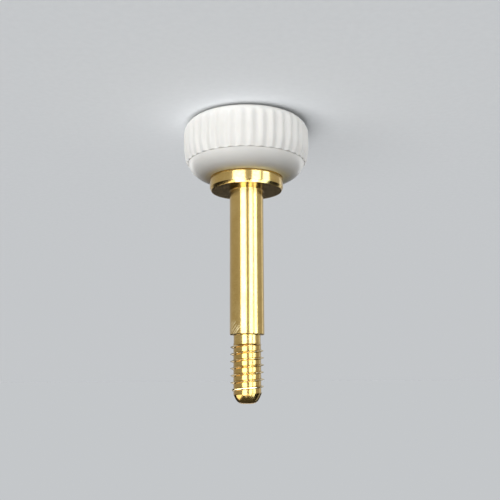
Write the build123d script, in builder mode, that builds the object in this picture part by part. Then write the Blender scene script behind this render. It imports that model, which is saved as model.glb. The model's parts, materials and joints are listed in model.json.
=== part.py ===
from build123d import *
from math import cos, pi, sin, sqrt, tan
import os

# Thumb screw: a ribbed plastic knob moulded on to a turned brass stud.
# It stands on the flat top of its knob, with the stud along +Z from the origin. Lengths are in millimetres.

# Knob
knob_d = 23.7  # over the rib crests
knob_h = 11.0
shoulder_r = 2.7  # rounding round the flat top, where the ribs run out
underside_r = 3.9  # rounding of the plain rim towards the stud
rib_count = 38
rib_depth = 0.35
rib_runout_depth = 0.02  # depth that is left at the flat top
rib_end_depth = 0.18  # depth that is left at the other end
rib_foot = 2.7  # from the underside to the ends of the ribs
rib_drop = 0.65  # how far the crests fall towards those ends
rib_drop_len = 3.3  # over this length
rim_step = 0.21  # how far the ends of the crests stand proud of the rim

# Collar and shank of the stud
collar_d = 13.8
collar_h = 2.5
collar_chamfer = 0.3  # across the bearing face
collar_chamfer_len = 0.55  # along the collar
shank_d = 6.3
shank_len = 27.0
shank_edge = 0.15

# Thread of the stud
neck_d = 4.9
neck_len = 1.5
thread_d = 6.2
thread_root_d = 5.0
thread_pitch = 1.27
thread_len = 10.7  # from the neck to the tip
thread_flank = pi / 6
first_crest = 0.67  # from the neck to the first crest, measured on the +X side
tip_chamfer = 1.6

# Spigot of the stud, held inside the knob
spigot_d = 8.0  # over the knurl
spigot_len = 7.0
knurl_count = 18
knurl_depth = 0.3
groove_d = 6.4
groove_w = 1.4

overrun = 0.06  # how far a cutting or joining shape passes the face that it crosses

# Heights and radii that follow from those above
crest_r = knob_d / 2
collar_r = collar_d / 2
shank_r = shank_d / 2
neck_r = neck_d / 2
thread_r = thread_d / 2
root_r = thread_root_d / 2
tip_r = thread_r - tip_chamfer
bearing_face = knob_h + collar_h
shank_end = bearing_face + shank_len
neck_end = shank_end + neck_len
tip_end = neck_end + thread_len

# The ribs end part of the way down the rounding of the rim.
rib_turn = 2 * pi / rib_count
rib_end = knob_h - rib_foot
rim_r = crest_r - rib_drop - rim_step
underside_flat_r = rim_r - sqrt(underside_r**2 - (underside_r - rib_foot) ** 2)


def at_turn(radius, turn):
    """Point at a radius and an angle about the axis."""
    return (radius * cos(turn), radius * sin(turn))


def rib_sections():
    """Height, crest radius and depth of the ribs, from the flat top to the ends of the ribs."""
    for turn in (0, pi / 6, pi / 3, pi / 2):
        depth = rib_runout_depth + (rib_depth - rib_runout_depth) * sin(turn) ** 2
        yield shoulder_r * (1 - cos(turn)), crest_r - shoulder_r * (1 - sin(turn)), depth
    for share in (0, 1 / 2, 1):
        depth = rib_depth + (rib_end_depth - rib_depth) * share
        yield rib_end - rib_drop_len * (1 - share), crest_r - rib_drop * share**2, depth


# Knurled spigot with a groove that keys it into the knob
with BuildPart() as spigot:
    with BuildSketch(Plane.XY.offset(knob_h - spigot_len)):
        with BuildLine():
            tooth_turn = 2 * pi / knurl_count
            teeth = []
            for i in range(knurl_count):
                teeth.append(at_turn(spigot_d / 2, i * tooth_turn))
                teeth.append(at_turn(spigot_d / 2 - knurl_depth, (i + 1 / 2) * tooth_turn))
            Polyline(*teeth, close=True)
        make_face()
    extrude(amount=spigot_len)
    with BuildSketch(Plane.XZ):
        groove_mid = knob_h - spigot_len / 2
        with BuildLine():
            Polyline(
                (groove_d / 2, groove_mid - groove_w / 2),
                (spigot_d / 2 + overrun, groove_mid - groove_w / 2),
                (spigot_d / 2 + overrun, groove_mid + groove_w / 2),
                (groove_d / 2, groove_mid + groove_w / 2),
                close=True,
            )
        make_face()
    revolve(axis=Axis.Z, mode=Mode.SUBTRACT)

# Ridge of the thread, right-handed, cut away in a cone at each end
with BuildPart() as ridge:
    with BuildLine() as crest_line:
        Helix(
            pitch=thread_pitch,
            height=thread_len + 2 * thread_pitch,
            radius=root_r,
            center=(0, 0, neck_end + first_crest - thread_pitch),
        )
    with BuildSketch(Plane(origin=crest_line.line @ 0, x_dir=(1, 0, 0), z_dir=crest_line.line % 0)):
        ridge_h = thread_r - root_r
        foot_half = (ridge_h + overrun) * tan(thread_flank)
        with BuildLine():
            Polyline((-overrun, -foot_half), (ridge_h, 0), (-overrun, foot_half), close=True)
        make_face()
    sweep(path=crest_line.line, is_frenet=True)
    with BuildSketch(Plane.XZ):
        outside_r = thread_r + thread_pitch
        lead_foot_r = root_r - 2 * overrun
        with BuildLine():
            Polyline(
                (lead_foot_r, neck_end - 2 * thread_pitch),
                (lead_foot_r, neck_end),
                (outside_r, neck_end + outside_r - lead_foot_r),
                (outside_r, neck_end - 2 * thread_pitch),
                close=True,
            )
        make_face()
        with BuildLine():
            Polyline(
                (tip_r - overrun, tip_end + 2 * thread_pitch),
                (tip_r - overrun, tip_end + overrun),
                (outside_r, tip_end - outside_r + tip_r),
                (outside_r, tip_end + 2 * thread_pitch),
                close=True,
            )
        make_face()
    revolve(axis=Axis.Z, mode=Mode.SUBTRACT)

# Stud: one turned piece from the spigot to the tip
with BuildPart() as stud:
    with BuildSketch(Plane.XZ):
        with BuildLine():
            Polyline(
                (0, knob_h),
                (collar_r, knob_h),
                (collar_r, bearing_face - collar_chamfer_len),
                (collar_r - collar_chamfer, bearing_face),
                (shank_r, bearing_face),
                (shank_r, shank_end - shank_edge),
                (shank_r - shank_edge, shank_end),
                (neck_r, shank_end),
                (neck_r, neck_end),
                (root_r, neck_end),
                (root_r, tip_end - root_r + tip_r),
                (tip_r, tip_end),
                (0, tip_end),
                (0, knob_h),
            )
        make_face()
    revolve(axis=Axis.Z)
    add(spigot.part)
    add(ridge.part)

# Knob: ribs that run out in the shoulder at one end and stop on the rounded underside at the other
with BuildPart() as knob:
    for height, radius, depth in rib_sections():
        with BuildSketch(Plane.XY.offset(height)):
            with BuildLine():
                for i in range(rib_count):
                    valley = i * rib_turn - pi / 2
                    ThreePointArc(
                        at_turn(radius - depth, valley),
                        at_turn(radius, valley + rib_turn / 2),
                        at_turn(radius - depth, valley + rib_turn),
                    )
            make_face()
    loft(ruled=True)
    with BuildSketch(Plane.XZ):
        with BuildLine():
            RadiusArc((rim_r, rib_end), (underside_flat_r, knob_h), -underside_r)
            Polyline((underside_flat_r, knob_h), (0, knob_h), (0, rib_end), (rim_r, rib_end))
        make_face()
    revolve(axis=Axis.Z)
    add(spigot.part, mode=Mode.SUBTRACT)

os.makedirs("parts", exist_ok=True)
knob.part.label = "knob"
stud.part.label = "stud"
export_step(knob.part, "parts/knob.step")
export_step(stud.part, "parts/stud.step")
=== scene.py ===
import json
import math

import bmesh
import bpy
from mathutils import Matrix, Vector, noise


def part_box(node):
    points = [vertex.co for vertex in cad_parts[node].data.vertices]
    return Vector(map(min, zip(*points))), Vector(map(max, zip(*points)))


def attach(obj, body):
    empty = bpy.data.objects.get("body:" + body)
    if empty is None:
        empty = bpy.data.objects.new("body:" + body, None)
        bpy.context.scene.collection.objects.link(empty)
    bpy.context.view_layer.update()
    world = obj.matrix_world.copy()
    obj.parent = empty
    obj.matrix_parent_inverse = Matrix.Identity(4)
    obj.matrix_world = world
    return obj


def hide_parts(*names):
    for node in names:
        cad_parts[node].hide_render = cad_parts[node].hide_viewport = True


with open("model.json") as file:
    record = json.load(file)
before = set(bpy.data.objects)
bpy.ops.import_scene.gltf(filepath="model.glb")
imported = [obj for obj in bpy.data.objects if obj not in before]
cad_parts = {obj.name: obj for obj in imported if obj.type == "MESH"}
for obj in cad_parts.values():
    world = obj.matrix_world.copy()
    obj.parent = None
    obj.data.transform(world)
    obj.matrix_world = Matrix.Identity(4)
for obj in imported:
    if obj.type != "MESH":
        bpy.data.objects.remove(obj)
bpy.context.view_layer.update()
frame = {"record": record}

# Thumb screw: a ribbed plastic knob on a turned brass stud. It stands on the flat top of its knob.
MM = 0.001
rise = Vector((0, 0, 1))

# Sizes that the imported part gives
_, knob_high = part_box("knob")
stud_low, stud_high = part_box("stud")
mounts = {mount["name"]: mount for mount in frame["record"]["mounts"]}
crest_r = knob_high.x
knob_h = knob_high.z
collar_r = stud_high.x
spigot_end = stud_low.z
tip_end = stud_high.z
bearing_face = mounts["bearing_face"]["pos_m"][2]
shank_r = mounts["shank"]["dims"]["r_mm"] * MM
shank_top = mounts["shank"]["pos_m"][2] + mounts["shank"]["dims"]["length_mm"] * MM / 2

# Sizes of the knob
rib_count = 38
rib_depth = 0.40 * MM
rib_runout_depth = 0.02 * MM  # depth that is left at the flat top
rib_end_depth = 0.21 * MM  # depth that is left at the other end
rib_fade = 5  # power of the fade in the shoulder; a higher one ends the ribs sooner
shoulder_r = 2.7 * MM
rib_foot = 2.7 * MM  # from the underside to the ends of the ribs
rib_drop = 0.65 * MM  # how far the crests fall towards those ends
rib_drop_len = 3.3 * MM  # over this length
rim_step = 0.21 * MM  # how far the ends of the crests stand proud of the rim
underside_r = 3.9 * MM
nose_round = 0.28 * MM  # rounding at the end of each rib
rib_end = knob_h - rib_foot
rim_r = crest_r - rib_drop - rim_step
rim_centre_z = knob_h - underside_r
underside_flat_r = rim_r - math.sqrt(underside_r**2 - (underside_r - rib_foot) ** 2)
flat_r = crest_r - shoulder_r

# Sizes of the collar, shank and neck
collar_chamfer = 0.3 * MM  # across the bearing face
collar_chamfer_len = 0.55 * MM  # along the collar
edge_round = 0.08 * MM
shank_edge = 0.15 * MM
neck_r = 2.45 * MM
neck_len = 1.5 * MM
shank_end = shank_top + shank_edge
neck_end = shank_end + neck_len

# Sizes of the thread
thread_r = 3.1 * MM
root_r = 2.5 * MM
thread_pitch = 1.27 * MM
thread_flank = math.radians(23)
first_crest = 0.67 * MM  # from the neck to the first crest, measured on the +X side
crest_round = 0.25  # rounding of the crest, as a share of the ridge's half width
crest_rag = 0.14 * MM  # most that is worn off the crest
crest_sway = 0.05 * MM  # how far the crest wanders along the stud
rag_scale = 4  # how fine that wear is
lead_inset = 0.12 * MM  # how far below the root the cone at the neck begins
tip_r = 0.8 * MM
tip_rise = 1.65 * MM  # how far the rounded tip widens
tip_len = 1.5 * MM  # over this length
tip_curve = 0.38  # power of that curve

# Sizes of the spigot, hidden in the knob
spigot_r = 4.0 * MM
knurl_count = 18
knurl_depth = 0.3 * MM
groove_r = 3.2 * MM
groove_w = 1.4 * MM
groove_mid = (knob_h + spigot_end) / 2

# Fineness of the meshes
rib_columns = 12
tooth_columns = 12
shoulder_steps = 12
drop_steps = 10
rim_steps = 24
shank_steps = 24
weld_dist = 0.0004 * MM
knob_sharp = math.radians(40)
stud_sharp = math.radians(30)


def arc(centre_r, centre_z, radius, start, stop, steps):
    """Points (radius, height) along an arc; angles run from the outward direction towards +Z."""
    points = []
    for i in range(steps + 1):
        turn = start + (stop - start) * i / steps
        points.append((centre_r + radius * math.cos(turn), centre_z + radius * math.sin(turn)))
    return points


def line(start, end, steps):
    """Points from start to end, without the first."""
    return [
        (start[0] + (end[0] - start[0]) * i / steps, start[1] + (end[1] - start[1]) * i / steps)
        for i in range(1, steps + 1)
    ]


def at_turn(radius, turn, height):
    """Point at a radius, an angle about the axis and a height."""
    return Vector((radius * math.cos(turn), radius * math.sin(turn), height))


def knurl(turn):
    """Radius of the spigot's knurl, straight-sided teeth with a tooth on the +X side."""
    step = turn * knurl_count / (2 * math.pi)
    return spigot_r - knurl_depth * 2 * abs(step - round(step))


class Skin:
    """A closed skin made of rings of points about the Z axis."""

    def __init__(self, turns):
        self.turns = turns
        self.points = []
        self.faces = []
        self.last = None

    def ring(self, radius, height):
        """Adds a ring and joins it to the one before.

        The radius is a number or a function of the turn.
        """
        first = len(self.points)
        for turn in self.turns:
            value = radius(turn) if callable(radius) else radius
            self.points.append(at_turn(value, turn, height))
        count = len(self.turns)
        if self.last is not None:
            for i in range(count):
                j = (i + 1) % count
                self.faces.append((self.last + i, self.last + j, first + j, first + i))
        self.last = first

    def rings(self, profile):
        """Adds a ring at each (radius, height) of a profile."""
        for radius, height in profile:
            self.ring(radius, height)

    def pole(self, height, closing):
        """Closes the skin at the axis, before its first ring or after its last."""
        self.points.append(rise * height)
        pole = len(self.points) - 1
        count = len(self.turns)
        for i in range(count):
            j = (i + 1) % count
            if closing:
                self.faces.append((self.last + i, self.last + j, pole))
            else:
                self.faces.append((pole, pole + 1 + j, pole + 1 + i))

    def helix(self, rows, rows_per_turn):
        """Adds rows that climb one pitch in a turn.

        The seam joins the end of each row to the start of the one a turn further on.
        """
        first = len(self.points)
        count = len(self.turns)
        for row in rows:
            self.points.extend(row)
        for k in range(len(rows) - 1):
            for i in range(count - 1):
                a = first + k * count + i
                self.faces.append((a, a + 1, a + 1 + count, a + count))
            if k + rows_per_turn + 1 < len(rows):
                a = first + k * count + count - 1
                b = first + (k + rows_per_turn) * count
                self.faces.append((a, b, b + count, a + count))

    def to_object(self, name, sharp_angle):
        """Makes a clean mesh object of the skin, smooth except at sharp edges."""
        mesh = bpy.data.meshes.new(name)
        mesh.from_pydata([tuple(p) for p in self.points], [], self.faces)
        work = bmesh.new()
        work.from_mesh(mesh)
        bmesh.ops.remove_doubles(work, verts=work.verts, dist=weld_dist)
        bmesh.ops.dissolve_degenerate(work, edges=work.edges, dist=weld_dist)
        bmesh.ops.recalc_face_normals(work, faces=work.faces)
        work.to_mesh(mesh)
        work.free()
        mesh.shade_smooth()
        mesh.set_sharp_from_angle(angle=sharp_angle)
        obj = bpy.data.objects.new(name, mesh)
        bpy.context.scene.collection.objects.link(obj)
        return obj


# Knob, from the middle of its flat top round to the bottom of its socket
knob_columns = rib_count * rib_columns
knob_turns = [2 * math.pi * i / knob_columns - math.pi / 2 for i in range(knob_columns)]


def ribbed(crest, depth):
    """Radius round the knob, with rounded ribs and equally rounded valleys between them."""

    def radius(turn):
        return crest - depth * (1 + math.cos(rib_count * (turn + math.pi / 2))) / 2

    return radius


def rib_nose(ribs, height):
    """Radius where the end of each rib rounds over on to the rim."""
    share = math.sqrt(max(0, 1 - ((height - rib_end + nose_round) / nose_round) ** 2))

    def radius(turn):
        return rim_r + max(0, ribs(turn) - rim_r) * share

    return radius


knob_skin = Skin(knob_turns)
knob_skin.pole(0, closing=False)
for share in (0.25, 0.6, 0.9):
    knob_skin.ring(flat_r * share, 0)
for i in range(shoulder_steps + 1):
    turn = math.pi / 2 * i / shoulder_steps
    depth = rib_runout_depth + (rib_depth - rib_runout_depth) * math.sin(turn) ** rib_fade
    crest = crest_r - shoulder_r * (1 - math.sin(turn))
    knob_skin.ring(ribbed(crest, depth), shoulder_r * (1 - math.cos(turn)))
drop_start = rib_end - rib_drop_len
knob_skin.ring(ribbed(crest_r, rib_depth), (shoulder_r + drop_start) / 2)
drop_end = 1 - nose_round / rib_drop_len
for i in range(drop_steps + 1):
    share = drop_end * i / drop_steps
    ribs = ribbed(crest_r - rib_drop * share**2, rib_depth + (rib_end_depth - rib_depth) * share)
    knob_skin.ring(ribs, drop_start + rib_drop_len * share)
for share in (0.35, 0.62, 0.82, 0.94, 1):
    nose_z = rib_end - nose_round * (1 - share)
    knob_skin.ring(rib_nose(ribs, nose_z), nose_z)
rim_start = math.asin((rib_end - rim_centre_z) / underside_r)
rim_profile = arc(underside_flat_r, rim_centre_z, underside_r, rim_start, math.pi / 2, rim_steps)
knob_skin.rings(rim_profile[1:])
knob_skin.rings(line((underside_flat_r, knob_h), (spigot_r + edge_round, knob_h), 3))
knob_skin.ring(knurl, knob_h)
knob_skin.ring(knurl, groove_mid + groove_w / 2)
knob_skin.ring(groove_r, groove_mid + groove_w / 2)
knob_skin.ring(groove_r, groove_mid - groove_w / 2)
knob_skin.ring(knurl, groove_mid - groove_w / 2)
knob_skin.ring(knurl, spigot_end)
knob_skin.pole(spigot_end, closing=True)
knob = knob_skin.to_object("knob_shell", knob_sharp)

# Stud, from its spigot to its tip: the thread's rows follow the helix, the rest are plain rings
stud_columns = knurl_count * tooth_columns
stud_turns = [2 * math.pi * i / stud_columns for i in range(stud_columns)]
ridge_foot = (thread_r - root_r) * math.tan(thread_flank) / thread_pitch
ridge_side = [share * ridge_foot for share in (0, 0.12, 0.3, 0.55, 0.8, 1, 1.2)]
thread_shares = ridge_side + [0.42, 0.58] + [1 - share for share in reversed(ridge_side[1:])]


def ridge_radius(share):
    """Radius of the thread form at a share of the pitch from a crest, with a rounded crest."""
    away = min(share, 1 - share) / ridge_foot
    if away >= 1:
        return root_r
    fall = math.hypot(away, crest_round) - crest_round
    return root_r + (thread_r - root_r) * (1 - fall / (math.hypot(1, crest_round) - crest_round))


def thread_row(climb, share):
    """One row of the thread: it climbs a pitch round the stud, and is cut at the neck and the tip."""
    row = []
    for turn in stud_turns:
        height = neck_end + first_crest + thread_pitch * (turn / (2 * math.pi) + climb + share)
        radius = ridge_radius(share)
        rag_at = Vector((math.cos(turn), math.sin(turn), height / thread_pitch)) * rag_scale
        ridge_share = max(0, radius - root_r) / (thread_r - root_r)
        worn = crest_rag * ridge_share * (1 + noise.noise(rag_at)) / 2
        height += crest_sway * ridge_share**2 * noise.noise(rag_at * 2)
        height = min(max(height, neck_end), tip_end)
        radius = min(radius - worn, max(root_r, root_r - lead_inset + height - neck_end))
        radius = min(radius, tip_r + tip_rise * ((tip_end - height) / tip_len) ** tip_curve)
        row.append(at_turn(radius, turn, height))
    return row


stud_skin = Skin(stud_turns)
stud_skin.pole(spigot_end, closing=False)
stud_skin.ring(spigot_r / 2, spigot_end)
stud_skin.ring(knurl, spigot_end)
stud_skin.ring(knurl, groove_mid - groove_w / 2)
stud_skin.ring(groove_r, groove_mid - groove_w / 2)
stud_skin.ring(groove_r, groove_mid + groove_w / 2)
stud_skin.ring(knurl, groove_mid + groove_w / 2)
stud_skin.ring(knurl, knob_h)
stud_skin.rings(line((spigot_r, knob_h), (collar_r - edge_round, knob_h), 2))
stud_skin.rings(arc(collar_r - edge_round, knob_h + edge_round, edge_round, -math.pi / 2, 0, 4)[1:])
chamfer_turn = math.atan2(collar_chamfer, collar_chamfer_len)
chamfer_low = bearing_face - collar_chamfer_len - edge_round * math.tan(chamfer_turn / 2)
stud_skin.rings(line((collar_r, knob_h + edge_round), (collar_r, chamfer_low), 6))
stud_skin.rings(arc(collar_r - edge_round, chamfer_low, edge_round, 0, chamfer_turn, 3)[1:])
upper_r = collar_r - collar_chamfer - edge_round * math.tan((math.pi / 2 - chamfer_turn) / 2)
stud_skin.rings(
    arc(upper_r, bearing_face - edge_round, edge_round, chamfer_turn, math.pi / 2, 4)
)
stud_skin.rings(line((upper_r, bearing_face), (shank_r + edge_round, bearing_face), 6))
stud_skin.rings(
    arc(shank_r + edge_round, bearing_face + edge_round, edge_round, -math.pi / 2, -math.pi, 4)[1:]
)
stud_skin.rings(
    line((shank_r, bearing_face + edge_round), (shank_r, shank_end - shank_edge), shank_steps)
)
stud_skin.rings(line((shank_r, shank_end - shank_edge), (shank_r - shank_edge, shank_end), 2))
stud_skin.rings(line((shank_r - shank_edge, shank_end), (neck_r + edge_round, shank_end), 2))
stud_skin.rings(
    arc(neck_r + edge_round, shank_end + edge_round, edge_round, -math.pi / 2, -math.pi, 3)[1:]
)
stud_skin.rings(line((neck_r, shank_end + edge_round), (neck_r, neck_end), 4))
stud_skin.ring(root_r, neck_end)
thread_turns = math.ceil((tip_end - neck_end) / thread_pitch)
spare_turns = 2  # turns past each end, which fold flat there and are welded away
climbs = range(-spare_turns, thread_turns + spare_turns)
thread_rows = [thread_row(climb, share) for climb in climbs for share in thread_shares]
stud_skin.helix(thread_rows, len(thread_shares))
stud_skin.last = None
stud_skin.ring(tip_r, tip_end)
stud_skin.ring(tip_r / 2, tip_end)
stud_skin.pole(tip_end, closing=True)
stud = stud_skin.to_object("stud_turned", stud_sharp)


# Materials
class Nodes:
    """Small helper for building a material's node tree."""

    def __init__(self, name):
        self.material = bpy.data.materials.new(name)
        self.material.use_nodes = True
        self.tree = self.material.node_tree
        self.shader = self.tree.nodes["Principled BSDF"]
        self.place = self.add("ShaderNodeTexCoord").outputs["Object"]

    def add(self, kind, **settings):
        node = self.tree.nodes.new(kind)
        for key, value in settings.items():
            setattr(node, key, value)
        return node

    def link(self, start, end):
        self.tree.links.new(start, end)

    def noise(self, scale, detail, stretch=(1, 1, 1)):
        """Noise in the object's own space, stretched along each axis."""
        mapping = self.add("ShaderNodeMapping")
        mapping.inputs["Scale"].default_value = stretch
        self.link(self.place, mapping.inputs["Vector"])
        texture = self.add("ShaderNodeTexNoise")
        texture.inputs["Scale"].default_value = scale
        texture.inputs["Detail"].default_value = detail
        self.link(mapping.outputs["Vector"], texture.inputs["Vector"])
        return texture.outputs["Fac"]

    def measure(self, operation, vector):
        """Number that a vector operation gives for the place and a fixed vector."""
        node = self.add("ShaderNodeVectorMath", operation=operation)
        node.inputs[1].default_value = vector
        self.link(self.place, node.inputs[0])
        return node.outputs["Value"]

    def remap(self, value, start, stop, low=0.0, high=1.0, kind="LINEAR"):
        """Maps the numbers from start to stop on to low to high, and holds the ends."""
        node = self.add("ShaderNodeMapRange", interpolation_type=kind)
        node.inputs["From Min"].default_value = start
        node.inputs["From Max"].default_value = stop
        node.inputs["To Min"].default_value = low
        node.inputs["To Max"].default_value = high
        self.link(value, node.inputs["Value"])
        return node.outputs["Result"]

    def spread(self, value, low, high):
        """Maps the middle of a noise on to a range of numbers."""
        return self.remap(value, start=0.3, stop=0.7, low=low, high=high)

    def times(self, first, second):
        """Product of two sockets, held between 0 and 1."""
        node = self.add("ShaderNodeMath", operation="MULTIPLY", use_clamp=True)
        self.link(first, node.inputs[0])
        self.link(second, node.inputs[1])
        return node.outputs[0]

    def mix(self, factor, low, high):
        """Mixes two colours; each is a colour or a socket. The colour sockets go by number."""
        node = self.add("ShaderNodeMix", data_type="RGBA")
        for socket, value in ((node.inputs[6], low), (node.inputs[7], high)):
            if isinstance(value, tuple):
                socket.default_value = (*value, 1)
            else:
                self.link(value, socket)
        self.link(factor, node.inputs["Factor"])
        return node.outputs[2]

    def bump(self, height, strength, distance, under=None):
        """Bump from a height, on top of another bump where one is given."""
        node = self.add("ShaderNodeBump")
        node.inputs["Strength"].default_value = strength
        node.inputs["Distance"].default_value = distance
        self.link(height, node.inputs["Height"])
        if under is not None:
            self.link(under, node.inputs["Normal"])
        return node.outputs["Normal"]

    def sockets(self, **values):
        """Sets sockets of the shader; an underscore stands for a space."""
        for key, value in values.items():
            self.shader.inputs[key.replace("_", " ")].default_value = value


# White plastic: a faint cloudiness and a fine moulded grain
plastic_deep = (0.86, 0.85, 0.82)
plastic_pale = (0.90, 0.892, 0.865)
plastic = Nodes("white_moulded_plastic")
cloud = plastic.noise(scale=260, detail=3.0)
speck = plastic.noise(scale=5200, detail=2.0)
plastic.link(
    plastic.mix(plastic.spread(cloud, 0, 1), plastic_deep, plastic_pale),
    plastic.shader.inputs["Base Color"],
)
plastic.link(plastic.spread(cloud, low=0.38, high=0.46), plastic.shader.inputs["Roughness"])
surface = plastic.bump(cloud, strength=0.3, distance=0.02 * MM)
surface = plastic.bump(speck, strength=0.25, distance=0.004 * MM, under=surface)
plastic.link(surface, plastic.shader.inputs["Normal"])
plastic.sockets(
    Subsurface_Weight=0.12,
    Subsurface_Scale=0.5 * MM,
    Subsurface_Radius=(1.0, 0.85, 0.7),
    IOR=1.5,
)

# Brass: turning marks round the stud, grain, tarnish, and painted shade and highlight on the thread
brass_deep = (0.59, 0.39, 0.125)
brass_pale = (0.70, 0.485, 0.18)
brass_grain = (0.49, 0.31, 0.09)
brass_scratched = (0.88, 0.70, 0.38)
# painted shade for the roots of the thread
painted_root_shade = (0.47, 0.295, 0.085)
# painted highlight for the crests of the thread
painted_crest_highlight = (0.90, 0.75, 0.46)
brass = Nodes("turned_brass")
turning = brass.noise(scale=1, detail=3.0, stretch=(120, 120, 9000))
grain = brass.noise(scale=1, detail=2.0, stretch=(2600, 2600, 6500))
tarnish = brass.noise(scale=330, detail=4.0)

# A patch of slanting scratches near the end of the shank
patch_turn = math.radians(-42)
patch_from_end = 1.1 * MM
patch_outer = 1.7 * MM
patch_inner = 0.5 * MM
scratch_along = 350  # scale of the streaks in their own direction
scratch_across = 6500  # and across it
patch_mid = at_turn(shank_r, patch_turn, shank_end - patch_from_end)
patch_side = Vector((-math.sin(patch_turn), math.cos(patch_turn), 0))
along = (patch_side + rise).normalized() * scratch_along
across = (rise - patch_side).normalized() * scratch_across
scratch_place = brass.add("ShaderNodeCombineXYZ")
brass.link(brass.measure("DOT_PRODUCT", along), scratch_place.inputs["X"])
brass.link(brass.measure("DOT_PRODUCT", across), scratch_place.inputs["Y"])
streaks = brass.add("ShaderNodeTexNoise")
streaks.inputs["Scale"].default_value = 1.0
brass.link(scratch_place.outputs["Vector"], streaks.inputs["Vector"])
from_patch = brass.measure("DISTANCE", patch_mid)
in_patch = brass.remap(from_patch, start=patch_outer, stop=patch_inner, kind="SMOOTHSTEP")
scratched = brass.times(in_patch, brass.spread(streaks.outputs["Fac"], low=-1.2, high=1.8))

# Painted shade in the roots of the thread, and a painted highlight on its crests
painted_thread_most = 0.75
painted_thread_fade = 0.5 * MM  # the painted shade and highlight build up from this far before the neck's end to this far after it
highlight_from = 0.05 * MM  # height above the root where the painted highlight begins
highlight_to = 0.35 * MM  # and where it is full
sideways = brass.add("ShaderNodeVectorMath", operation="MULTIPLY")
sideways.inputs[1].default_value = (1, 1, 0)
brass.link(brass.place, sideways.inputs[0])
radial = brass.add("ShaderNodeVectorMath", operation="LENGTH")
brass.link(sideways.outputs["Vector"], radial.inputs[0])
painted_thread_zone = brass.remap(
    brass.measure("DOT_PRODUCT", rise),
    start=neck_end - painted_thread_fade,
    stop=neck_end + painted_thread_fade,
    high=painted_thread_most,
)
crest_highlight_mask = brass.remap(radial.outputs["Value"], start=root_r + highlight_from, stop=root_r + highlight_to)

gold = brass.mix(brass.spread(tarnish, 0, 1), brass_deep, brass_pale)
gold = brass.mix(brass.spread(grain, low=0, high=0.6), gold, brass_grain)
gold = brass.mix(scratched, gold, brass_scratched)
# painted shade: the roots of the thread are darkened
gold = brass.mix(painted_thread_zone, gold, painted_root_shade)
# painted highlight: the crests of the thread are lightened
gold = brass.mix(brass.times(painted_thread_zone, crest_highlight_mask), gold, painted_crest_highlight)
brass.link(gold, brass.shader.inputs["Base Color"])
scratch_roughness = 0.25
roughness = brass.add("ShaderNodeMath", operation="MULTIPLY_ADD")
brass.link(scratched, roughness.inputs[0])
roughness.inputs[1].default_value = scratch_roughness
brass.link(brass.spread(grain, low=0.13, high=0.24), roughness.inputs[2])
brass.link(roughness.outputs[0], brass.shader.inputs["Roughness"])
surface = brass.bump(turning, strength=0.3, distance=0.006 * MM)
surface = brass.bump(grain, strength=0.25, distance=0.006 * MM, under=surface)
surface = brass.bump(scratched, strength=0.4, distance=0.02 * MM, under=surface)
brass.link(surface, brass.shader.inputs["Normal"])
brass.sockets(Metallic=1.0)

knob.data.materials.append(plastic.material)
stud.data.materials.append(brass.material)
for piece, node, slot in ((knob, "knob", "knob_plastic"), (stud, "stud", "stud_brass")):
    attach(piece, "root")
    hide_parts(node)

# Floor: a wide pale sheet
floor_half = 6.0
floor_mesh = bpy.data.meshes.new("floor")
floor_mesh.from_pydata(
    [(x * floor_half, y * floor_half, 0) for x, y in ((-1, -1), (1, -1), (1, 1), (-1, 1))],
    [],
    [(0, 1, 2, 3)],
)
floor = bpy.data.objects.new("floor", floor_mesh)
bpy.context.scene.collection.objects.link(floor)
paper_deep = (0.66, 0.68, 0.70)
paper_pale = (0.68, 0.70, 0.72)
paper = Nodes("pale_paper")
fibre = paper.noise(scale=900, detail=3.0)
paper.link(
    paper.mix(paper.spread(fibre, 0, 1), paper_deep, paper_pale),
    paper.shader.inputs["Base Color"],
)
paper.sockets(Roughness=0.9, Specular_IOR_Level=0.0)
floor_mesh.materials.append(paper.material)

# World: as pale as the floor just above the horizon, dark above that, a little less dark overhead
sky_stops = (  # elevation in degrees and colour
    (8.6, (0.553, 0.571, 0.587)),
    (10.5, (0.02, 0.02, 0.02)),
    (40.0, (0.02, 0.02, 0.02)),
    (55.0, (0.08, 0.08, 0.08)),
)
world = bpy.data.worlds.new("studio")
bpy.context.scene.world = world
world.use_nodes = True
tree = world.node_tree
outlook = tree.nodes.new("ShaderNodeTexCoord")
split = tree.nodes.new("ShaderNodeSeparateXYZ")
tree.links.new(outlook.outputs["Generated"], split.inputs[0])
sky = tree.nodes.new("ShaderNodeValToRGB")
while len(sky.color_ramp.elements) < len(sky_stops):
    sky.color_ramp.elements.new(1.0)
for element, (elevation, colour) in zip(sky.color_ramp.elements, sky_stops):
    element.position = math.sin(math.radians(elevation))
    element.color = (*colour, 1)
tree.links.new(split.outputs["Z"], sky.inputs["Fac"])
tree.links.new(sky.outputs["Color"], tree.nodes["Background"].inputs["Color"])


def collection_of(name, obj):
    """Collection of one object, for the lamps that light it alone."""
    group = bpy.data.collections.new(name)
    group.objects.link(obj)
    return group


def panel(name, start, stop, distance, low, high, level, colour, lit):
    """Upright soft panel that faces the screw's axis and lights one collection.

    It spans a range of azimuths in degrees, measured from the camera and positive towards -X.
    """
    azimuth = math.radians((start + stop) / 2)
    half_turn = math.radians((stop - start) / 2)
    out = Vector((-math.sin(azimuth), -math.cos(azimuth), 0))
    data = bpy.data.lights.new(name, "AREA")
    data.shape = "RECTANGLE"
    data.size = 2 * distance * math.tan(half_turn)
    data.size_y = high - low
    data.energy = level * data.size * data.size_y * math.pi
    data.color = colour
    obj = bpy.data.objects.new(name, data)
    bpy.context.scene.collection.objects.link(obj)
    axes = Matrix((rise.cross(out), rise, out)).transposed()
    obj.matrix_world = Matrix.Translation(out * distance + rise * (low + high) / 2) @ axes.to_4x4()
    obj.visible_camera = False
    obj.light_linking.receiver_collection = lit


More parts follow.
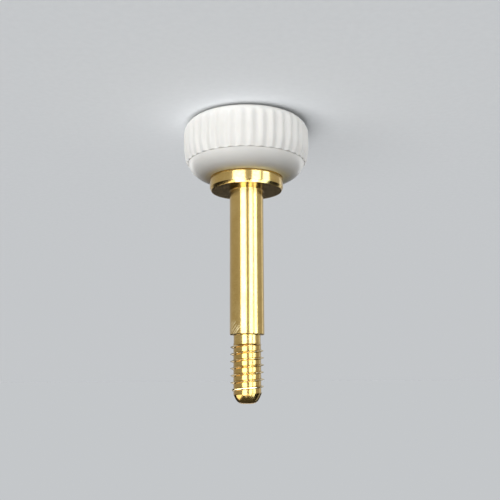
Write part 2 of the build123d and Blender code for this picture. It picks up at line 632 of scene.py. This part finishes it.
# Soft sun that lights the floor and gives the screw its shadow
sun_data = bpy.data.lights.new("sun", "SUN")
sun_data.energy = 2.6
sun_data.angle = math.radians(50)
sun = bpy.data.objects.new("sun", sun_data)
bpy.context.scene.collection.objects.link(sun)
sun.rotation_euler = (math.radians(18), math.radians(14), 0)
sun.light_linking.receiver_collection = collection_of("floor_surface", floor)

# Soft low panels that light the knob
white = (1.0, 1.0, 1.0)
plastic_surface = collection_of("plastic_surface", knob)
panel_low = 0.002
panel_high = 0.03
for name, start, stop, distance, level, colour in (
    ("key", -74, -20, 0.34, 22.0, (1.0, 0.985, 0.96)),
    ("fill", 10, 60, 0.40, 18.0, (1.0, 0.99, 0.97)),
    ("rear_left", -160, -115, 0.50, 9.0, white),
    ("rear_right", 120, 160, 0.50, 9.0, white),
):
    panel(name, start, stop, distance, panel_low, panel_high, level, colour, plastic_surface)

# Strips that light the brass, close enough to reach down to the floor in its reflections
strip_cool = (0.72, 0.84, 1.0)
metal_surface = collection_of("metal_surface", stud)
strip_at = 0.038
strip_low = 0.0005
strip_high = 0.085
for name, start, stop, level, colour in (
    ("strip_left", -38, -4, 6.4, strip_cool),
    ("strip_middle", 17, 40, 6.2, strip_cool),
    ("strip_right", 49, 69, 6.0, (0.58, 0.77, 1.0)),
    ("strip_side", 117, 131, 0.8, strip_cool),
):
    panel(name, start, stop, strip_at, strip_low, strip_high, level, colour, metal_surface)

# Higher panels that light the flanks of the thread
flank_warm = (1.0, 0.98, 0.95)
for name, start, stop, distance, low, high, level in (
    ("flank_front", -40, 50, 0.10, 0.105, 0.150, 3.0),
    ("flank_left", -115, -45, 0.10, 0.090, 0.150, 3.0),
    ("flank_back", 160, 200, 0.15, 0.098, 0.200, 1.2),
):
    panel(name, start, stop, distance, low, high, level, flank_warm, metal_surface)

# Camera: head of the screw uppermost in the picture
photo_side = 500
focal_px = 731.0
camera_place = Vector((-0.61, -133.43, 49.78)) * MM
dip = math.radians(10.63)
roll = math.radians(0.3)
forward = Vector((0, math.cos(dip), -math.sin(dip)))
up = Vector((0, -math.sin(dip), -math.cos(dip)))
right = Vector((-1, 0, 0))
rolled_up = up * math.cos(roll) + right * math.sin(roll)
rolled_right = right * math.cos(roll) - up * math.sin(roll)
camera_data = bpy.data.cameras.new("camera")
camera_data.sensor_fit = "HORIZONTAL"
camera_data.angle = 2 * math.atan(photo_side / 2 / focal_px)
camera_data.clip_start = 5 * MM
camera = bpy.data.objects.new("camera", camera_data)
bpy.context.scene.collection.objects.link(camera)
axes = Matrix((rolled_right, rolled_up, -forward)).transposed()
camera.matrix_world = Matrix.Translation(camera_place) @ axes.to_4x4()
bpy.context.scene.camera = camera
bpy.context.scene.view_settings.view_transform = "Standard"

bpy.context.view_layer.update()
